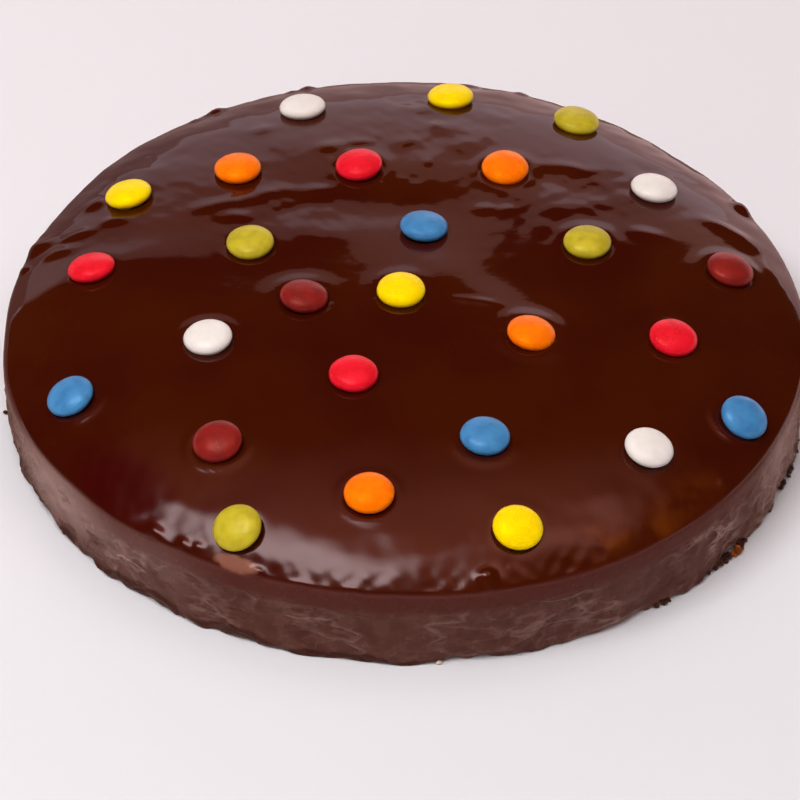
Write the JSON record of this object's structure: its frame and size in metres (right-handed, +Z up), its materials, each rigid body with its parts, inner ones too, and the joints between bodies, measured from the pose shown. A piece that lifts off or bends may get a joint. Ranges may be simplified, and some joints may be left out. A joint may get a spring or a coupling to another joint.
{
  "type": "chocolate cake",
  "caption": "Whole round low chocolate cake with a gently domed top, a dark chocolate glaze over top and side, and coloured sugar-coated chocolate lentils on the top.",
  "frame": {"origin": "middle of the cake's flat foot, on the surface that it stands on", "axes": "+Z up; -Y towards the camera of the picture, so +X is to the right in it"},
  "size_m": [0.2395, 0.2405, 0.0458],
  "materials": {
    "sponge": "baked chocolate sponge, matt and open-pored",
    "glaze": "dark chocolate glaze, poured and set, glossy",
    "shell_white": "white sugar shell, polished with a soft shine",
    "shell_yellow": "yellow sugar shell, polished with a soft shine",
    "shell_green": "olive green sugar shell, polished with a soft shine",
    "shell_orange": "orange sugar shell, polished with a soft shine",
    "shell_red": "red sugar shell, polished with a soft shine",
    "shell_blue": "blue sugar shell, polished with a soft shine",
    "shell_maroon": "brownish maroon sugar shell, polished with a soft shine"
  },
  "bodies": {
    "root": {"sponge": "sponge", "glaze": "glaze", "lentil_01": "shell_yellow", "lentil_02": "shell_blue", "lentil_03": "shell_maroon", "lentil_04": "shell_green", "lentil_05": "shell_orange", "lentil_06": "shell_red", "lentil_07": "shell_green", "lentil_08": "shell_white", "lentil_09": "shell_red", "lentil_10": "shell_blue", "lentil_11": "shell_orange", "lentil_12": "shell_maroon", "lentil_13": "shell_white", "lentil_14": "shell_green", "lentil_15": "shell_yellow", "lentil_16": "shell_white", "lentil_17": "shell_orange", "lentil_18": "shell_yellow", "lentil_19": "shell_red", "lentil_20": "shell_blue", "lentil_21": "shell_maroon", "lentil_22": "shell_green", "lentil_23": "shell_orange", "lentil_24": "shell_yellow", "lentil_25": "shell_white", "lentil_26": "shell_blue", "lentil_27": "shell_red"}
  },
  "joints": []
}
